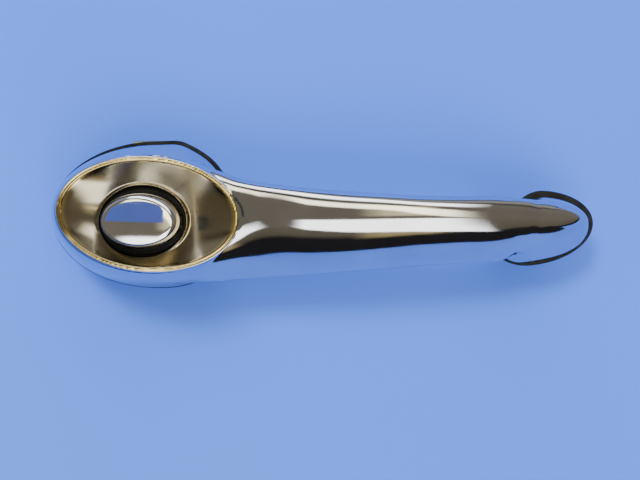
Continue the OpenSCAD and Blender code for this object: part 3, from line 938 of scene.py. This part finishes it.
handle_casting()
cap = button_cap()
well_seal()
pad("head_gasket", "head_pad", lambda g: head_outline(0.6 + g) + np.array((0.1, 0.4)),
    lambda g: head_outline(-7 + g))
from_gap("tip_gasket", tip_gasket_gap, (130, -20, -0.4), (177, 15, 2.2), (0.5, 0.5, 0.22),
         RUBBER, "handle", ["tip_pad"])
from_gap("yellow_bracket", bracket_gap, (-37, -17, -12), (31, 34, -2), (0.45, 0.45, 0.3),
         YELLOW_ZINC, "handle", ["clamp_bracket"])
return_spring()
retainer_screws()
fixings("threaded_studs", rod(3.0, -18.6, 11.5, 0.5), STUDS, PLAIN_STEEL, "handle",
        "head_studs", (1.0, 0.42, -18.0, 1.0))
fixings("hexagon_nuts", hexagon(10, -11.7, -6.7, 2.8), STUDS, PLAIN_STEEL, "handle",
        "stud_nuts")
fixings("flat_washers", washer(6.4, 3.2, -5.2, -4.0), STUDS, PLAIN_STEEL, "handle",
        "bracket_washers")
fixings("spring_washers", split_ring(5.0, 3.1, -6.62, -5.28), STUDS, SPRING_STEEL, "handle",
        "lock_washers")
fixings("screw_washers", split_ring(2.7, 1.6, 3.48, 3.92), POSTS, SPRING_STEEL, "handle",
        "retainer_washers")
fixings("stem", turned([(2.5, -7), (3, -6.5), (3, -1.85), (2.35, -1.8), (2.3, -1.75),
                        (2.3, -0.85), (2.35, -0.8), (3, -0.75), (3, 24.6), (2.6, 25)],
                       64, closed=False),
        AXIS, PLAIN_STEEL, "button", "button_stem")
fixings("seat_washer", washer(7, 3.0, CAP_Z - 0.8, CAP_Z), AXIS, PLAIN_STEEL, "button",
        "spring_seat")
fixings("bush", turned([(3.05, 0.8), (3.35, 0.5), (5.2, 0.5), (5.5, 0.8), (5.5, 6), (7.2, 6),
                        (7.5, 6.3), (7.5, 7.2), (7.2, 7.5), (3.35, 7.5), (3.05, 7.2)], 72),
        AXIS, BRASS, "handle", "guide_bush")
fixings("button_stop", washer(6, 3.0, -0.8, 0.2), AXIS, PLAIN_STEEL, "button",
        "stop_washer")
fixings("contact_screw", joined(rod(2.0, -12, -2.8, 0.3), hexagon(7, -14, -11.6, 0)), AXIS,
        PLAIN_STEEL, "button", "contact_bolt", (0.7, 0.28, -11.5, -7.2))
fixings("contact_nut", hexagon(8, -9.6, -7.0, 1.9), AXIS, BRASS, "button",
        "contact_locknut")
fixings("nylon_tip", turned([(3.2, -13.95), (3.4, -14.1), (3.4, -14.6), (3.2, -15.1),
                             (2.7, -15.6), (1.8, -15.9), (0.8, -16.06), (0.2, -16.1)][::-1],
                            64, closed=False),
        AXIS, NYLON, "button", "contact_tip")
fixings("locating_pin", turned([(1.3, -4.5), (1.9, -3.9), (1.9, 0), (2.0, 0.05), (2.0, 7.6),
                                (1.6, 7.8)], 48, closed=False),
        (DOWEL,), PLAIN_STEEL, "handle", "tip_dowel")
for node, finish in (("stem_pin", PLAIN_STEEL), ("retainer_plate", PRESSED_STEEL),
                     ("stem_clip", SPRING_STEEL)):
    dress(node, finish)

# ---------------------------------------------------------------- floor, light and camera
FLOOR_DEPTH, FLOOR_HALF = 22.6 * MM, 3.0
HANDLE_MIDDLE = (0.067, -0.007, 0.02)
STRIP_GLOW = 4.5


def floor():
    mesh = bpy.data.meshes.new("floor")
    r, low = FLOOR_HALF, -FLOOR_DEPTH
    mesh.from_pydata([(-r, -r, low), (r, -r, low), (r, r, low), (-r, r, low)], [],
                     [(0, 1, 2, 3)])
    obj = bpy.data.objects.new("floor", mesh)
    bpy.context.scene.collection.objects.link(obj)
    f = Finish("pale_blue_floor", Roughness=0.8)
    f.set("Base Color", f.colours(f.noise(3, 2), (0.3, (0.055, 0.185, 1.0)),
                                  (0.7, (0.07, 0.21, 1.0))))
    mesh.materials.append(f.material)


def softbox(name, place, size, watts):
    """Area light at place, facing the handle."""
    light = bpy.data.lights.new(name, "AREA")
    light.shape = "RECTANGLE"
    light.size, light.size_y = size
    light.energy = watts
    obj = bpy.data.objects.new(name, light)
    bpy.context.scene.collection.objects.link(obj)
    aim = np.array(HANDLE_MIDDLE) - np.array(place)
    obj.location = place
    obj.rotation_euler = Vector(aim).to_track_quat("-Z", "Y").to_euler()
    obj.visible_glossy = False


def room():
    """Studio seen in the polish: dark wall on the outer side, pale boards and strips elsewhere."""
    world = bpy.data.worlds.new("room")
    bpy.context.scene.world = world
    world.use_nodes = True
    tree = world.node_tree
    back = tree.nodes["Background"]

    def node(kind, *sources, **settings):
        made = tree.nodes.new(kind)
        for key, value in settings.items():
            setattr(made, key, value)
        for socket, source in zip(made.inputs, sources):
            if isinstance(source, (int, float)):
                socket.default_value = source
            elif source is not None:
                tree.links.new(source, socket)
        return made.outputs[0]

    split = tree.nodes.new("ShaderNodeSeparateXYZ")
    where = tree.nodes.new("ShaderNodeTexCoord")
    tree.links.new(where.outputs["Generated"], split.inputs[0])
    x, y, z = split.outputs

    def ramp(value, stops):
        made = tree.nodes.new("ShaderNodeValToRGB")
        tree.links.new(value, made.inputs["Fac"])
        while len(made.color_ramp.elements) < len(stops):
            made.color_ramp.elements.new(0.5)
        for element, (place, colour) in zip(made.color_ramp.elements, stops):
            element.position = place
            element.color = (*colour, 1)
        return made.outputs["Color"]

    lean = node("ShaderNodeMath", y, z, operation="ARCTAN2")
    turn = node("ShaderNodeMath", lean, 180 / math.pi, operation="MULTIPLY")
    across = node("ShaderNodeMath", node("ShaderNodeMath", turn, 90, operation="ADD"), 180,
                  operation="DIVIDE")

    def at(degrees):
        return (degrees + 90) / 180

    def soft_step(value, low, high):
        made = tree.nodes.new("ShaderNodeMapRange")
        made.interpolation_type = "SMOOTHSTEP"
        tree.links.new(value, made.inputs["Value"])
        for key, amount in (("From Min", low), ("From Max", high), ("To Min", 0), ("To Max", 1)):
            made.inputs[key].default_value = amount
        return made.outputs[0]

    tan, dark, cream = (0.22, 0.19, 0.145), (0.022, 0.020, 0.022), (1.0, 0.86, 0.50)
    boards = ramp(across, [(0, dark), (at(-64), dark), (at(-55), (0.16, 0.14, 0.095)),
                           (at(-12), tan), (at(12), tan), (at(40), (0.24, 0.22, 0.18)),
                           (at(52), (0.10, 0.085, 0.06)), (at(64), (0.4, 0.39, 0.36)),
                           (at(83), (0.4, 0.4, 0.4)),
                           (at(87), dark), (1, dark)])
    gold, none = (0.50, 0.38, 0.16), (0, 0, 0)
    warm = ramp(across, [(at(-67), none), (at(-61), gold), (at(-52), gold), (at(-45), none),
                         (at(-10), none), (at(-5), cream), (at(22), cream), (at(29), none)])
    white = (1, 1, 1)
    shifted = node("ShaderNodeMath", node("ShaderNodeMath", x, 0.267, operation="MULTIPLY"),
                   0.053, operation="ADD")
    north = node("ShaderNodeMath", across, shifted, operation="ADD")
    strips = ramp(north, [(at(20), none), (at(25), (0.9, 0.84, 0.6)), (at(39), (0.9, 0.84, 0.6)),
                           (at(45), none), (at(57), none), (at(65), white), (at(79), white),
                           (at(84), none)])
    low_edge = node("ShaderNodeMath", turn, node("ShaderNodeMath", x, 30, operation="MULTIPLY"),
                    operation="ADD")
    outer = node("ShaderNodeMath", soft_step(low_edge, -49.5, -45.5), soft_step(turn, -14, -19),
                 operation="MULTIPLY")
    pale = tree.nodes.new("ShaderNodeCombineXYZ")
    for k in range(3):
        tree.links.new(outer, pale.inputs[k])
    strips = node("ShaderNodeVectorMath", strips, pale.outputs[0], operation="ADD")
    both = node("ShaderNodeMath", soft_step(x, 0.60, 0.44), soft_step(x, -0.40, -0.24),
                operation="MULTIPLY")
    right = node("ShaderNodeMath", soft_step(x, -0.02, 0.14), soft_step(x, 0.44, 0.30),
                 operation="MULTIPLY")
    lit = node("ShaderNodeVectorMath", warm, None, operation="SCALE")
    tree.links.new(right, lit.node.inputs["Scale"])
    boards = node("ShaderNodeVectorMath", boards, lit, operation="ADD")
    glow = node("ShaderNodeVectorMath", strips, None, operation="SCALE")
    tree.links.new(node("ShaderNodeMath", both, STRIP_GLOW, operation="MULTIPLY"),
                   glow.node.inputs["Scale"])
    total = node("ShaderNodeVectorMath", boards, glow, operation="ADD")
    tree.links.new(total, back.inputs["Color"])
    back.inputs["Strength"].default_value = 1.0


def camera():
    data = bpy.data.cameras.new("camera")
    data.sensor_width = 36
    data.lens = 53.5
    data.clip_start = 0.01
    obj = bpy.data.objects.new("camera", data)
    bpy.context.scene.collection.objects.link(obj)
    obj.location = (0.067, -0.0072, 0.380)
    bpy.context.scene.camera = obj


def button_card(button):
    """Blue card close over the button, which alone is lit by it."""
    mesh = bpy.data.meshes.new("button_card")
    mesh.from_pydata([(-0.038, 0.0035, 0.075), (0.013, 0.0005, 0.075), (0.013, 0.030, 0.075),
                      (-0.038, 0.030, 0.075)], [], [(3, 2, 1, 0)])
    obj = bpy.data.objects.new("button_card", mesh)
    bpy.context.scene.collection.objects.link(obj)
    f = Finish("card_blue", Emission_Strength=1.0, Roughness=0.9)
    f.shader.inputs["Base Color"].default_value = (0.30, 0.19, 0.04, 1)
    f.set("Emission Color", f.colours(f.noise(30, 2), (0.3, (0.05, 0.10, 0.62)),
                                      (0.7, (0.07, 0.12, 0.55))))
    mesh.materials.append(f.material)
    obj.visible_camera = obj.visible_shadow = obj.visible_diffuse = False
    only = bpy.data.collections.new("lit_by_card")
    only.objects.link(button)
    obj.light_linking.receiver_collection = only


floor()
room()
button_card(cap)
softbox("key_window", (-0.3, 0.62, 1.3), (0.35, 0.35), 18)
camera()
